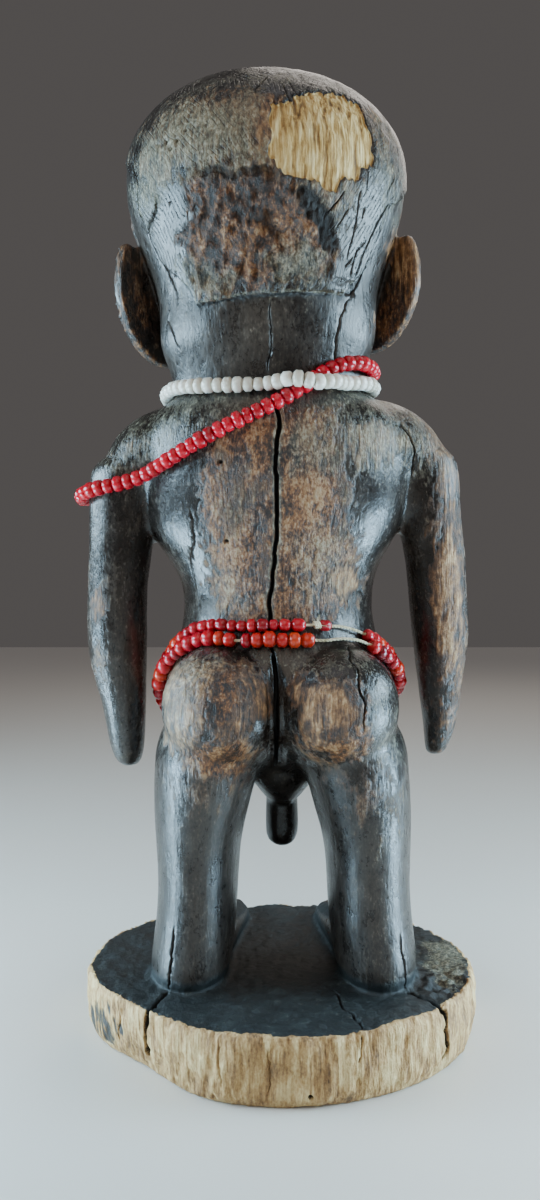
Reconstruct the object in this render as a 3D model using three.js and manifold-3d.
// A carved wooden standing figure on an oval foot, cut from one log, with three strings of glass
// beads: a white one round the neck, a red one slung from neck to upper arm, and a red one wound
// twice round the hips. Millimetres, +Z up, the face towards -Y, the figure's left hand at +X.
// The origin is the middle of the underside.
import * as THREE from "three";
import { mergeVertices } from "three/addons/utils/BufferGeometryUtils.js";
import Module from "manifold-3d";

const wasm = await Module();
wasm.setup();

// Driving dimensions of the carving.
const HEIGHT = 400;
const FOOT_WIDTH = 162;
const FOOT_DEPTH = 139.5;
const FOOT_THICK = 25.3;
const HEAD_WIDTH = 118.8;
const EAR_THICK = 5.5;
const EAR_RIM = 3.4; // width of the raised rim round the hollow of an ear
const EAR_HOLLOW = 2.2; // how deep that hollow is
const EAR_TURN = 0.75; // how far round from the back an ear points, in radians
const EAR_TOP_TILT = 0.06; // slope of an ear's flat top, in radians

// Beads and string.
const GAP = 0.35; // clear space between a string of beads and what it lies on
const WHITE_BEAD = { radius: 3.0, pitch: 4.1 };
const SASH_BEAD = { radius: 3.1, pitch: 4.25 };
const UPPER_HIP_BEAD = { radius: 2.5, pitch: 4.7 };
const LOWER_HIP_BEAD = { radius: 3.0, pitch: 4.9 };
const STRING_RADIUS = 0.6;
const WAIST_OF_BEAD = 0.7; // radius where two beads meet, as a share of the bead's

// How finely the forms are cut.
const BODY_SIDES = 16;
const LIMB_SIDES = 11;
const BEAD_SIDES = 5;

const WOOD = new THREE.MeshStandardMaterial({ color: 0x3a2a20, roughness: 0.45, metalness: 0 });
const WHITE_GLASS = new THREE.MeshStandardMaterial({ color: 0xe6e0d2, roughness: 0.35, metalness: 0 });
const RED_GLASS = new THREE.MeshStandardMaterial({ color: 0xb3122a, roughness: 0.3, metalness: 0 });
const HIP_GLASS = new THREE.MeshStandardMaterial({ color: 0xa81f24, roughness: 0.35, metalness: 0 });
const COTTON = new THREE.MeshStandardMaterial({ color: 0xd9cdb0, roughness: 0.85, metalness: 0 });

// Keeps the sign of v while its size goes to the given power, for squarer or rounder sections.
function signedPower(v, power) {
  return Math.sign(v) * Math.abs(v) ** power;
}

// A geometry's positions alone, with shared vertices merged, as a manifold solid.
function solidOf(geometry) {
  const bare = geometry.clone();
  bare.deleteAttribute("normal");
  bare.deleteAttribute("uv");
  const merged = mergeVertices(bare, 1e-4);
  return new wasm.Manifold(
    new wasm.Mesh({
      numProp: 3,
      vertProperties: new Float32Array(merged.attributes.position.array),
      triVerts: new Uint32Array(merged.index.array),
    }),
  );
}

function geometryOf(solid) {
  const mesh = solid.getMesh();
  return new THREE.BufferGeometry()
    .setAttribute("position", new THREE.BufferAttribute(new Float32Array(mesh.vertProperties), 3))
    .setIndex(new THREE.BufferAttribute(new Uint32Array(mesh.triVerts), 1));
}

// A form shaped ring by ring, one ring for each station, first to last. A station has its centre
// (x, y, z), the half width across, and how far the form reaches behind and before its centre.
// behindAxis is the direction that counts as behind. A level form keeps its rings flat; otherwise
// each ring is square to the line through the stations on either side of it.
function shaped(stations, sides, { behindAxis = new THREE.Vector3(0, 1, 0), flatRings = false } = {}) {
  const last = stations.length - 1;
  const centres = stations.map(({ x, y, z }) => new THREE.Vector3(x, y, z));
  const frames = centres.map((_, i) => {
    const along = centres[Math.min(last, i + 1)].clone().sub(centres[Math.max(0, i - 1)]).normalize();
    if (flatRings) along.set(0, 0, -1);
    const across = new THREE.Vector3().crossVectors(along, behindAxis).normalize();
    return { across, behind: new THREE.Vector3().crossVectors(across, along).normalize() };
  });
  const geometry = new THREE.CylinderGeometry(1, 1, 1, sides, last);
  const position = geometry.attributes.position;
  for (let i = 0; i < position.count; i++) {
    const ring = Math.round((0.5 - position.getY(i)) * last);
    const station = stations[ring];
    const { across, behind } = frames[ring];
    const reach = Math.min(1, Math.hypot(position.getX(i), position.getZ(i)));
    const turn = Math.atan2(-position.getX(i), position.getZ(i));
    const side = signedPower(Math.sin(turn), 2 / station.power) * station.half * reach;
    const deep = signedPower(Math.cos(turn), 2 / station.power) * reach;
    const depth = deep * (deep > 0 ? station.behind : station.before);
    const place = centres[ring].clone().addScaledVector(across, side).addScaledVector(behind, depth);
    position.setXYZ(i, place.x, place.y, place.z);
  }
  return solidOf(geometry);
}

// An upright form with level rings.
function upright(stations, sides) {
  return shaped(stations, sides, { flatRings: true });
}

// An egg form: a sphere stretched to three half sizes, turned about Z, then about Y, and placed.
function egg({ at, half, turnZ = 0, leanY = 0, sides = 14 }) {
  const geometry = new THREE.SphereGeometry(1, sides, Math.round(sides * 0.6));
  geometry.rotateX(Math.PI / 2);
  geometry.scale(...half);
  geometry.rotateZ(turnZ);
  geometry.rotateY(leanY);
  geometry.translate(...at);
  return solidOf(geometry);
}

// A station of an upright form, from the Y of its back and front.
function level(z, x, half, back, front, power = 2.2) {
  const y = (back + front) / 2;
  return { x, y, z, half, behind: back - y, before: y - front, power };
}

// A station of a limb, with the same reach behind and before its centre line.
function limb(x, y, z, half, deep, power = 2.2) {
  return { x, y, z, half, behind: deep, before: deep, power };
}

function footPlate() {
  const edges = [
    [FOOT_THICK, 1.2],
    [22, 0.2],
    [13, 0],
    [4, 0.7],
    [0, 2.4],
  ];
  const plate = upright(
    edges.map(([z, cut]) => level(z, 0, FOOT_WIDTH / 2 - cut, FOOT_DEPTH / 2 - cut, -FOOT_DEPTH / 2 + cut, 2.08)),
    28,
  );
  // The back left of the foot plate was cut flatter than the rest, most of all at the ground.
  const FLAT_AT = 0.65;
  const FLAT_SPREAD = 0.4;
  return plate.warp((v) => {
    const deepest = THREE.MathUtils.lerp(0.13, 0.07, v[2] / FOOT_THICK);
    const turn = Math.atan2(v[1], v[0]);
    const share = 1 - deepest * Math.exp(-(((turn - FLAT_AT) / FLAT_SPREAD) ** 2));
    v[0] *= share;
    v[1] *= share;
  });
}

function torso() {
  return upright(
    [
      level(266, 2.4, 36, 29, -20),
      level(258.5, 2.2, 44, 32.5, -24),
      level(249, 1.2, 54, 34.5, -27.5),
      level(235, 0.8, 57, 35, -31),
      level(219, 0.8, 55, 34, -32),
      level(205, 1.9, 51.4, 31.5, -34),
      level(193, 1.4, 44.4, 29.5, -38),
      level(181, 0.5, 40.4, 28, -42),
      level(168, 0.3, 40.8, 28.5, -43.5),
      level(155, 0, 44.2, 31.5, -42),
      level(140, -0.5, 48.6, 36, -36),
      level(122, -0.8, 48, 30, -31),
      level(110, -0.8, 43, 12, -27),
      level(104, -0.8, 36, 0, -22),
    ],
    BODY_SIDES,
  );
}

// Head and neck in one form, from the crown down into the shoulders.
function head() {
  const half = HEAD_WIDTH / 2;
  return upright(
    [
      level(HEIGHT, 5.7, 4, -11, -19, 2),
      level(397, 5.7, half * 0.34, 2, -32, 2),
      level(390, 5.7, half * 0.62, 19, -46, 2),
      level(380, 5.7, half * 0.83, 33.5, -56, 2),
      level(366, 5.7, half * 0.97, 45, -64, 2),
      level(351, 5.7, half, 50, -67, 2.05),
      level(336, 5.6, half * 0.956, 50, -66, 2.1),
      level(321, 5.3, half * 0.867, 47, -62, 2.15),
      level(307, 5, half * 0.79, 43, -54, 2.2),
      level(294, 4.6, half * 0.765, 39.5, -40, 2.2),
      level(282, 5, half * 0.74, 37.5, -29, 2.2),
      level(273, 4.8, half * 0.69, 35.5, -26, 2.2),
      level(264, 3.6, half * 0.67, 33.5, -25, 2.2),
      level(252, 2.4, half * 0.66, 31, -22, 2.2),
    ],
    BODY_SIDES,
  );
}

// Where the features of the face lie.
const FACE_X = 5.3;
const EYE_APART = 18.5;
const EYE_Z = 331;
const BROW_Z = 340.5;
const MOUTH_Z = 292.5;

// The lower face: cheeks and jaw down to the chin.
function jaw() {
  const jawbone = upright(
    [
      level(344, FACE_X, 34, 0, -58, 2.2),
      level(330, FACE_X, 41, 0, -64.5, 2.2),
      level(315, FACE_X, 42, 0, -66.5, 2.2),
      level(298, FACE_X, 38.5, 0, -65, 2.2),
      level(285, FACE_X, 32, 0, -62, 2.2),
      level(276, FACE_X, 23, 0, -57, 2.2),
      level(272.5, FACE_X, 12, -4, -48, 2.1),
    ],
    LIMB_SIDES,
  );
  const chin = egg({ at: [FACE_X, -52, 279], half: [10, 9, 7], sides: 8 });
  return jawbone.add(chin);
}

function nose() {
  return upright(
    [
      level(343, FACE_X, 4.5, -48, -66, 2),
      level(334, FACE_X, 4.2, -50, -70, 2),
      level(322, FACE_X, 5.4, -50, -74.5, 2),
      level(312, FACE_X, 8, -50, -78.5, 2),
      level(306.5, FACE_X, 9.5, -50, -79, 2),
      level(303.5, FACE_X, 7, -50, -74, 2),
    ],
    8,
  );
}

// One side of the face: the wing of the nose, the closed eyelid, the brow and the cheek.
function halfFace(side) {
  const eyeX = FACE_X + side * EYE_APART;
  const wing = egg({ at: [FACE_X + side * 8.2, -68, 307], half: [4.6, 6.5, 4.2], sides: 6 });
  const lid = egg({ at: [eyeX, -58.8, EYE_Z], half: [10.5, 7.4, 5.6], turnZ: side * 0.3, sides: 8 });
  const brow = egg({
    at: [eyeX + side, -59.6, BROW_Z],
    half: [14.5, 6.2, 2.4],
    turnZ: side * 0.32,
    leanY: -side * 0.06,
    sides: 8,
  });
  const cheek = egg({ at: [FACE_X + side * 24, -47, 308], half: [13, 13.5, 13], sides: 7 });
  return wing.add(lid).add(brow).add(cheek);
}

function lips() {
  const upper = egg({ at: [FACE_X, -62.3, MOUTH_Z + 2.8], half: [13, 6.6, 3], sides: 8 });
  const lower = egg({ at: [FACE_X, -61.8, MOUTH_Z - 2.9], half: [11.5, 6.8, 3.3], sides: 8 });
  return upper.add(lower);
}

// An ear is an upright plate, an oval cut off flat above, that stands outwards and back from the
// head. Its front face is hollowed inside a rim. wide and high are the oval's half sizes.
function ear({ at, wide, high, top, side }) {
  const out = new THREE.Vector3(side * Math.sin(EAR_TURN), Math.cos(EAR_TURN), 0);
  const up = new THREE.Vector3(0, 0, 1);
  const standing = new THREE.Matrix4().makeBasis(out, up, new THREE.Vector3().crossVectors(out, up));
  standing.setPosition(...at);
  const below = out.clone().multiplyScalar(Math.sin(EAR_TOP_TILT)).addScaledVector(up, -Math.cos(EAR_TOP_TILT));
  const topMiddle = new THREE.Vector3(at[0], at[1], top);
  const cutOval = (inset, thick, shift) => {
    const disc = new THREE.CylinderGeometry(1, 1, thick, 16).rotateX(Math.PI / 2);
    disc.scale(wide - inset, high - inset, 1).translate(0, 0, shift).applyMatrix4(standing);
    return solidOf(disc).trimByPlane(below.toArray(), below.dot(topMiddle) + inset);
  };
  const hollow = cutOval(EAR_RIM, 2 * EAR_HOLLOW, (side * EAR_THICK) / 2);
  return cutOval(0, EAR_THICK, 0).subtract(hollow);
}

function leftArm() {
  return shaped(
    [
      limb(24, 0, 236, 18, 21),
      limb(42, -0.5, 242.5, 17.5, 19),
      limb(56, -1, 240, 16.6, 17),
      limb(64, -1.5, 229, 15.4, 15.5),
      limb(66.2, -2, 213, 14.2, 14.5),
      limb(67.4, -2.5, 197, 13.2, 13.8),
      limb(68.7, -3, 181, 12.5, 13.4),
      limb(69, -4, 164, 12.6, 13),
      limb(68.4, -5.5, 148, 11.6, 12),
      limb(66.6, -7, 133, 9.4, 10.5),
      limb(65.8, -9, 119, 7.9, 9),
      limb(65.2, -10.5, 109, 5.8, 7),
      limb(64.6, -11, 105, 2, 3),
    ],
    LIMB_SIDES,
  );
}

function rightArm() {
  return shaped(
    [
      limb(-22, 0, 238, 18, 21),
      limb(-38, -0.5, 245, 17.5, 19),
      limb(-52, -1, 244, 16.4, 17),
      limb(-60.4, -1.5, 233, 15.2, 15.5),
      limb(-63, -2, 215, 14, 14.5),
      limb(-66, -2.5, 198, 12.8, 13.8),
      limb(-67.5, -3, 181, 12.3, 13.4),
      limb(-68.8, -4, 164, 12, 13),
      limb(-69.1, -5.5, 149, 10.3, 12),
      limb(-69.3, -7, 134, 8.4, 10.5),
      limb(-69.2, -9, 122, 6.5, 8.6),
      limb(-68.2, -10.5, 113.5, 4.6, 6.5),
      limb(-67.2, -11, 110, 1.8, 3),
    ],
    LIMB_SIDES,
  );
}

function leftLeg() {
  return upright(
    [
      level(134, 22, 22, 34, -20),
      level(120, 26.5, 23.4, 38, -23),
      level(106, 30, 21.4, 38.5, -24),
      level(93, 31.9, 19.6, 37, -24),
      level(78, 33.2, 17.6, 35.5, -24),
      level(62, 33.4, 16.5, 35.5, -22),
      level(48, 34, 16.3, 36.5, -17),
      level(36, 35.3, 16.4, 37.6, -14),
      level(20, 37, 16.4, 38.4, -14),
    ],
    LIMB_SIDES,
  );
}

function rightLeg() {
  return upright(
    [
      level(134, -22, 22, 34, -20),
      level(120, -27.6, 24, 38, -23),
      level(106, -31.8, 21.6, 38.5, -24),
      level(93, -34.2, 20, 37, -24),
      level(78, -36.2, 18, 35.5, -24),
      level(62, -36.7, 17, 35.5, -22),
      level(48, -37.3, 16.9, 36.5, -17),
      level(36, -38.7, 16.7, 37.6, -14),
      level(20, -40, 16.5, 38.4, -14),
    ],
    LIMB_SIDES,
  );
}

// A foot lies forward along -Y from under the leg, broadest at the toes.
function foot(side, heelX, toeX) {
  const z = FOOT_THICK;
  const up = new THREE.Vector3(0, 0, 1);
  const station = (share, y, half, high) => ({
    x: THREE.MathUtils.lerp(heelX, toeX, share),
    y,
    z,
    half,
    behind: high,
    before: 6,
    power: 2.6,
  });
  return shaped(
    [
      station(0, 24, 13.5, 14),
      station(0.25, 4, 14.5, 17),
      station(0.5, -16, 15, 16),
      station(0.75, -36, 16, 12.5),
      station(0.95, -52, 15.5, 9.5),
      station(1, -60, 12.5, 6),
    ],
    LIMB_SIDES,
    { behindAxis: up },
  );
}

function buttock(side) {
  return egg({ at: [side * 23.6 - 0.3, 21, 134.5], half: [24, 27, 25], sides: 11 });
}

function navel() {
  return egg({ at: [0.5, -42.5, 163], half: [6.5, 4.5, 7], sides: 8 });
}

function breast(side) {
  return egg({ at: [0.8 + side * 24, -20, 229], half: [23, 13.5, 18], sides: 10 });
}

// The plain carved loin form between the thighs: a rounded wedge with a short blunt peg.
function loinForm() {
  const wedge = upright(
    [
      level(114, -1.5, 19, 3, -27, 2.2),
      level(103, -1.5, 16, 2, -28, 2.2),
      level(95, -1.5, 10.8, -3, -27, 2.2),
      level(87.5, -1.5, 5.5, -9, -22, 2),
    ],
    10,
  );
  const peg = upright(
    [
      limb(-1.5, -22, 108, 7, 7, 2),
      limb(-1.5, -22.5, 92, 7, 7, 2),
      limb(-1.5, -23, 76, 7.2, 7.2, 2),
      limb(-1.5, -23, 69.5, 5.4, 5.4, 2),
      limb(-1.5, -23, 67, 1.5, 1.5, 2),
    ],
    10,
  );
  return wedge.add(peg);
}

function carvedFigure() {
  const forms = [
    footPlate(),
    torso(),
    head(),
    jaw(),
    nose(),
    lips(),
    halfFace(1),
    halfFace(-1),
    ear({ at: [51, -17, 312], wide: 25.5, high: 32.5, top: 326.5, side: 1 }),
    ear({ at: [-41.8, -17, 315], wide: 25.5, high: 29.5, top: 331, side: -1 }),
    leftArm(),
    rightArm(),
    leftLeg(),
    rightLeg(),
    foot(1, 36.5, 29),
    foot(-1, -39.5, -33),
    buttock(1),
    buttock(-1),
    breast(1),
    breast(-1),
    navel(),
    loinForm(),
  ];
  return forms.reduce((whole, form) => whole.add(form));
}

// The figure's triangles, for laying strings of beads on its surface.
class Surface {
  constructor(geometry) {
    const position = geometry.attributes.position;
    const index = geometry.index.array;
    this.triangles = [];
    for (let i = 0; i < index.length; i += 3) {
      const corner = (k) => new THREE.Vector3().fromBufferAttribute(position, index[i + k]);
      const triangle = new THREE.Triangle(corner(0), corner(1), corner(2));
      const middle = triangle.getMidpoint(new THREE.Vector3());
      const reach = Math.max(...[triangle.a, triangle.b, triangle.c].map((p) => p.distanceTo(middle)));
      this.triangles.push({ triangle, middle, reach, normal: triangle.getNormal(new THREE.Vector3()) });
    }
  }

  // Where a level ray from the inside first leaves the wood.
  wayOut(from, direction) {
    const ray = new THREE.Ray(from, direction);
    let nearest = null;
    for (const { triangle } of this.triangles) {
      const hit = ray.intersectTriangle(triangle.a, triangle.b, triangle.c, false, new THREE.Vector3());
      if (hit && (!nearest || hit.distanceTo(from) < nearest.distanceTo(from))) nearest = hit;
    }
    return nearest;
  }

  // The nearest point of the surface, its outward direction there, and the signed distance.
  nearest(point) {
    let best = { distance: Infinity };
    for (const { triangle, middle, reach, normal } of this.triangles) {
      if (point.distanceTo(middle) - reach > best.distance) continue;
      const on = triangle.closestPointToPoint(point, new THREE.Vector3());
      const distance = on.distanceTo(point);
      if (distance < best.distance - 1e-9) best = { distance, on, normal };
    }
    const away = point.clone().sub(best.on);
    const outside = away.dot(best.normal) >= 0;
    const direction = best.distance > 1e-6 ? away.normalize() : best.normal.clone();
    if (!outside) direction.negate();
    return { direction, signed: outside ? best.distance : -best.distance };
  }
}

// The middle line of a string of beads that lies on the surface. It goes once round the upright
// line through middle, at heightAt(turn); turn 0 is the back and a quarter turn is the left side.
// others are strings already laid: this one keeps clear of them, and climb is how far it goes over
// them rather than beside them.
function laidLine(surface, { middle, heightAt, radius, others = [], climb = 0 }) {
  const POINTS = 120;
  const ROUNDS = 24;
  const SETTLING = 4; // the last rounds smooth less, so the line stays where it was pushed
  const clear = radius + GAP;
  const points = [];
  for (let i = 0; i < POINTS; i++) {
    const turn = (i / POINTS) * 2 * Math.PI;
    const from = new THREE.Vector3(middle.x, middle.y, heightAt(turn));
    const direction = new THREE.Vector3(Math.sin(turn), Math.cos(turn), 0);
    points.push(surface.wayOut(from, direction).addScaledVector(direction, clear));
  }
  const keepClear = (point) => {
    const { direction, signed } = surface.nearest(point);
    if (signed < clear) point.addScaledVector(direction, clear - signed);
    for (const other of others) {
      const need = radius + other.radius + GAP;
      for (const passed of other.points) {
        const away = point.clone().sub(passed);
        const shortfall = need - away.length();
        if (shortfall <= 0) continue;
        point.addScaledVector(away.normalize().addScaledVector(direction, climb).normalize(), shortfall);
      }
    }
  };
  for (let round = 0; round < ROUNDS; round++) {
    const before = points.map((p) => p.clone());
    const smoothing = round < ROUNDS - SETTLING ? 0.5 : 0.15;
    points.forEach((point, i) => {
      const between = before[(i + 1) % POINTS].clone().lerp(before[(i + POINTS - 1) % POINTS], 0.5);
      point.lerp(between, smoothing);
      point.z = THREE.MathUtils.lerp(point.z, before[i].z, 0.8);
      keepClear(point);
    });
  }
  return { points, radius, curve: new THREE.CatmullRomCurve3(points, true) };
}

// A skin swept along part of a closed curve, between two shares of its length, with a radius for
// each ring. Over the whole curve it closes on itself; otherwise it has flat ends.
function swept(curve, from, to, rings, sides, radiusAt) {
  const whole = to - from === 1;
  const geometry = whole
    ? new THREE.TorusGeometry(1, 0.5, sides, rings)
    : new THREE.CylinderGeometry(1, 1, 1, sides, rings);
  const position = geometry.attributes.position;
  for (let i = 0; i < position.count; i++) {
    const [x, y, z] = [position.getX(i), position.getY(i), position.getZ(i)];
    let ring = Math.round((0.5 - y) * rings);
    let turn = -Math.atan2(z, x);
    let reach = Math.min(1, Math.hypot(x, z));
    if (whole) {
      ring = Math.round(((Math.atan2(y, x) + 2 * Math.PI) / (2 * Math.PI)) * rings) % rings;
      turn = Math.atan2(z, Math.hypot(x, y) - 1);
      reach = 1;
    }
    const share = (((from + (to - from) * (ring / rings)) % 1) + 1) % 1;
    const centre = curve.getPointAt(share);
    const along = curve.getTangentAt(share);
    const out = new THREE.Vector3(centre.x, centre.y, 0).normalize();
    const up = new THREE.Vector3().crossVectors(along, out).normalize();
    out.crossVectors(up, along).normalize();
    const radius = radiusAt(ring) * reach;
    centre.addScaledVector(out, Math.cos(turn) * radius).addScaledVector(up, Math.sin(turn) * radius);
    position.setXYZ(i, centre.x, centre.y, centre.z);
  }
  const index = geometry.index.array;
  if (solidOf(geometry).volume() < 0) {
    for (let i = 0; i < index.length; i += 3) [index[i + 1], index[i + 2]] = [index[i + 2], index[i + 1]];
  }
  return solidOf(geometry);
}

// A run of beads that touch: two rings a bead, one where it meets the next and one at its middle.
function beadRun(line, bead, from = 0, to = 1) {
  const beads = Math.round((line.curve.getLength() * (to - from)) / bead.pitch);
  const radiusAt = (ring) => (ring % 2 ? bead.radius : bead.radius * WAIST_OF_BEAD);
  return swept(line.curve, from, to, beads * 2, BEAD_SIDES, radiusAt);
}

// The bare string between two shares of a string's length, clear of the beads at both its ends.
function bareString(line, from, to) {
  const PIECES = 6;
  const room = GAP / line.curve.getLength();
  return swept(line.curve, from + room, to - room, PIECES, 6, () => STRING_RADIUS);
}

const figure = new THREE.Group();

function addNode(name, solid, material) {
  const mesh = new THREE.Mesh(geometryOf(solid), material);
  mesh.name = name;
  figure.add(mesh);
}

const carving = carvedFigure();
const surface = new Surface(geometryOf(carving));
addNode("carved_figure", carving, WOOD);

// How high a string lies, from stations of degrees round from the middle of the back, with the left
// side above 0, and millimetres.
function heightsAt(...stations) {
  return (turn) => {
    const degrees = ((THREE.MathUtils.radToDeg(turn) + 180) % 360) - 180;
    const next = Math.max(1, stations.findIndex(([angle]) => angle >= degrees));
    const [[from, low], [to, high]] = [stations[next - 1], stations[next]];
    return THREE.MathUtils.mapLinear(degrees, from, to, low, high);
  };
}

// The sash goes on first: the white neck string lies over it where they cross.
const sash = laidLine(surface, {
  middle: { x: 18, y: 2 },
  heightAt: heightsAt(
    [-180, 246], [-150, 257], [-115, 267], [-95, 271.5], [-68, 271.5], [-57, 269.5], [-49, 265.5],
    [-41, 260], [-33, 255.5], [-21, 251], [-11, 248], [2, 244.5], [25, 238], [40, 233.5], [62, 228],
    [76, 224], [90, 220], [110, 221], [140, 231], [180, 246],
  ),
  radius: SASH_BEAD.radius,
});
addNode("red_bead_sash", beadRun(sash, SASH_BEAD), RED_GLASS);

const neckString = laidLine(surface, {
  middle: { x: 2.5, y: 4 },
  heightAt: heightsAt(
    [-180, 259.5], [-120, 262], [-90, 264.5], [-75, 264.5], [-55, 262.5], [-41, 261], [-20, 260.3],
    [12, 259.8], [32, 260], [53, 261], [72, 262.5], [85, 261.5], [100, 259.5], [130, 258.5], [180, 259.5],
  ),
  radius: WHITE_BEAD.radius,
  others: [sash],
  climb: 1.5,
});
addNode("white_bead_necklace", beadRun(neckString, WHITE_BEAD), WHITE_GLASS);

// The hip string goes round twice. Shares of its length run from the middle of the back round by
// the left side; on the right of the back some of the beads are gone and the string shows.
const BARE_TO = 0.865;
const lowerRound = laidLine(surface, {
  middle: { x: -0.5, y: -2 },
  heightAt: heightsAt(
    [-180, 113], [-150, 116], [-120, 124], [-100, 136], [-90, 143.5], [-78, 152], [-60, 157.5],
    [-41, 160], [-24, 161.3], [0, 161.4], [36, 161], [50, 160.8], [60, 160], [70, 156], [80, 149.5],
    [88, 142], [96, 134], [106, 125.5], [125, 117.5], [150, 113.5], [180, 113],
  ),
  radius: LOWER_HIP_BEAD.radius,
});
const upperRound = laidLine(surface, {
  middle: { x: -0.5, y: -2 },
  heightAt: heightsAt(
    [-180, 121], [-150, 124], [-120, 132], [-100, 144], [-90, 151], [-78, 158], [-60, 162],
    [-41, 165], [-30, 167.2], [0, 167.3], [36, 166.6], [50, 166.2], [61, 165], [70, 161.5], [80, 156.5],
    [88, 150], [96, 142], [106, 133], [125, 125.5], [150, 121.5], [180, 121],
  ),
  radius: UPPER_HIP_BEAD.radius,
  others: [lowerRound],
});
addNode("waist_beads_lower", beadRun(lowerRound, LOWER_HIP_BEAD, -0.045, BARE_TO), HIP_GLASS);
addNode("waist_beads_upper", beadRun(upperRound, UPPER_HIP_BEAD, -0.072, BARE_TO), HIP_GLASS);
addNode("waist_string_lower", bareString(lowerRound, BARE_TO, 1 - 0.045), COTTON);

const knotAt = upperRound.curve.getPointAt(1 - 0.072 - 3 / upperRound.curve.getLength());
const knot = egg({ at: knotAt.toArray(), half: [1.7, 1.5, 1.9], sides: 8 });
addNode("waist_string_upper", bareString(upperRound, BARE_TO, 1 - 0.072).add(knot), COTTON);

export default figure;
